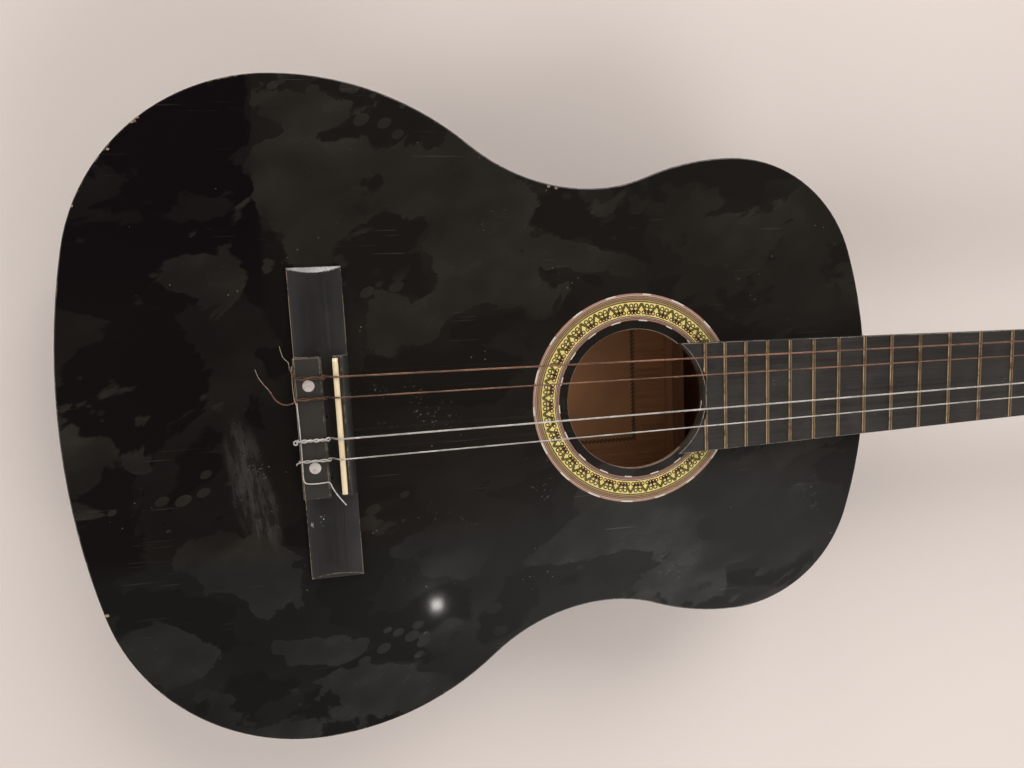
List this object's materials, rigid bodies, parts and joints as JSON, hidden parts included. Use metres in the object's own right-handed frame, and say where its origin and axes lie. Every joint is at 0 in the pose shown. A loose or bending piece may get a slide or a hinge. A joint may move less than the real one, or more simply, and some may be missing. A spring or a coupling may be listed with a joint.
{
  "type": "classical guitar",
  "caption": "Full-size classical guitar with a waisted hollow body, round sound hole, tie bridge, fretted neck and slotted head with worm tuners; strings missing and worn.",
  "frame": {"origin": "the middle of the body's length, on the outer face of the flat back", "axes": "+X along the neck to the head, +Y to the bass side, +Z out through the soundboard"},
  "size_m": [0.9848, 0.3786, 0.1086],
  "materials": {
    "top_lacquer": "black gloss lacquer over spruce, hazed, scratched and dusty, chipped to pale wood at its edges",
    "rosette_inlay": "inlaid ring: fine brown, white and black lines on both sides of a straw-yellow band with dark scrolls",
    "back_wood": "plain brown wood inside, dark brown lacquer outside",
    "rib_wood": "dark lacquered wood",
    "inner_wood": "bare softwood",
    "label_paper": "aged brown paper with a ruled border, no lettering",
    "bridge_wood": "black stained hardwood, rubbed pale along its edges",
    "saddle_plastic": "cream, a little yellowed",
    "pearl_dot": "pale pearl",
    "bolt_steel": "dull steel",
    "neck_wood": "dark lacquered wood",
    "dark_trim": "black lacquered veneer",
    "fretboard_wood": "dark stained wood, dry and dusty, fine grain along its length",
    "fret_brass": "dull old brass",
    "wound_string": "tarnished copper wire wound on a core",
    "plain_string": "cloudy nylon",
    "tuner_brass": "dull yellow plating, worn",
    "roller_plastic": "off-white barrel",
    "button_plastic": "aged ivory colour"
  },
  "bodies": {
    "root": {"soundboard": "top_lacquer", "rosette": "rosette_inlay", "back_panel": "back_wood", "rib_bass": "rib_wood", "rib_treble": "rib_wood", "top_lining": "inner_wood", "back_lining": "inner_wood", "neck_block": "inner_wood", "tail_block": "inner_wood", "harmonic_bars": "inner_wood", "fan_braces": "inner_wood", "bridge_patch": "inner_wood", "back_braces": "inner_wood", "label": "label_paper", "bridge": "bridge_wood", "saddle": "saddle_plastic", "nut": "saddle_plastic", "bridge_dots": "pearl_dot", "bridge_bolts": "bolt_steel", "neck_shaft": "neck_wood", "neck_heel": "neck_wood", "neck_head": "neck_wood", "heel_cap": "dark_trim", "head_veneer": "dark_trim", "fretboard": "fretboard_wood", "frets": "fret_brass", "string_6": "wound_string", "string_5": "wound_string", "string_3": "plain_string", "string_2": "plain_string", "string_1_stub": "plain_string", "tuner_plate_bass": "tuner_brass", "tuner_plate_treble": "tuner_brass", "plate_screws": "tuner_brass"},
    "button_1": {"tuner_worm_1": "tuner_brass", "tuner_button_1": "button_plastic"},
    "roller_1": {"tuner_roller_1": "roller_plastic", "tuner_gear_1": "tuner_brass"},
    "button_2": {"tuner_worm_2": "tuner_brass", "tuner_button_2": "button_plastic"},
    "roller_2": {"tuner_roller_2": "roller_plastic", "tuner_gear_2": "tuner_brass"},
    "button_3": {"tuner_worm_3": "tuner_brass", "tuner_button_3": "button_plastic"},
    "roller_3": {"tuner_roller_3": "roller_plastic", "tuner_gear_3": "tuner_brass"},
    "button_4": {"tuner_worm_4": "tuner_brass", "tuner_button_4": "button_plastic"},
    "roller_4": {"tuner_roller_4": "roller_plastic", "tuner_gear_4": "tuner_brass"},
    "button_5": {"tuner_worm_5": "tuner_brass", "tuner_button_5": "button_plastic"},
    "roller_5": {"tuner_roller_5": "roller_plastic", "tuner_gear_5": "tuner_brass"},
    "button_6": {"tuner_worm_6": "tuner_brass", "tuner_button_6": "button_plastic"},
    "roller_6": {"tuner_roller_6": "roller_plastic", "tuner_gear_6": "tuner_brass"}
  },
  "joints": [
    {"name": "button_turn_1", "type": "hinge", "parent": "root", "child": "button_1", "pos_m": [0.60436, -0.0417, 0.07587], "axis": [0.2588, 0, 0.9659], "continuous": true},
    {"name": "roller_turn_1", "type": "hinge", "parent": "root", "child": "roller_1", "pos_m": [0.6119, -0.0175, 0.07385], "axis": [0, 1, 0], "continuous": true},
    {"name": "button_turn_2", "type": "hinge", "parent": "root", "child": "button_2", "pos_m": [0.63817, -0.0417, 0.06681], "axis": [0.2588, 0, 0.9659], "continuous": true},
    {"name": "roller_turn_2", "type": "hinge", "parent": "root", "child": "roller_2", "pos_m": [0.64571, -0.0175, 0.06479], "axis": [0, 1, 0], "continuous": true},
    {"name": "button_turn_3", "type": "hinge", "parent": "root", "child": "button_3", "pos_m": [0.67198, -0.0417, 0.05775], "axis": [0.2588, 0, 0.9659], "continuous": true},
    {"name": "roller_turn_3", "type": "hinge", "parent": "root", "child": "roller_3", "pos_m": [0.67951, -0.0175, 0.05573], "axis": [0, 1, 0], "continuous": true},
    {"name": "button_turn_4", "type": "hinge", "parent": "root", "child": "button_4", "pos_m": [0.67198, 0.0397, 0.05775], "axis": [0.2588, 0, 0.9659], "continuous": true},
    {"name": "roller_turn_4", "type": "hinge", "parent": "root", "child": "roller_4", "pos_m": [0.67951, 0.0155, 0.05573], "axis": [0, 1, 0], "continuous": true},
    {"name": "button_turn_5", "type": "hinge", "parent": "root", "child": "button_5", "pos_m": [0.63817, 0.0397, 0.06681], "axis": [0.2588, 0, 0.9659], "continuous": true},
    {"name": "roller_turn_5", "type": "hinge", "parent": "root", "child": "roller_5", "pos_m": [0.64571, 0.0155, 0.06479], "axis": [0, 1, 0], "continuous": true},
    {"name": "button_turn_6", "type": "hinge", "parent": "root", "child": "button_6", "pos_m": [0.60436, 0.0397, 0.07587], "axis": [0.2588, 0, 0.9659], "continuous": true},
    {"name": "roller_turn_6", "type": "hinge", "parent": "root", "child": "roller_6", "pos_m": [0.6119, 0.0155, 0.07385], "axis": [0, 1, 0], "continuous": true}
  ],
  "couplings": [
    {"joint": "roller_turn_1", "follows": "button_turn_1", "ratio": -0.071429},
    {"joint": "roller_turn_2", "follows": "button_turn_2", "ratio": -0.071429},
    {"joint": "roller_turn_3", "follows": "button_turn_3", "ratio": -0.071429},
    {"joint": "roller_turn_4", "follows": "button_turn_4", "ratio": -0.071429},
    {"joint": "roller_turn_5", "follows": "button_turn_5", "ratio": -0.071429},
    {"joint": "roller_turn_6", "follows": "button_turn_6", "ratio": -0.071429}
  ]
}
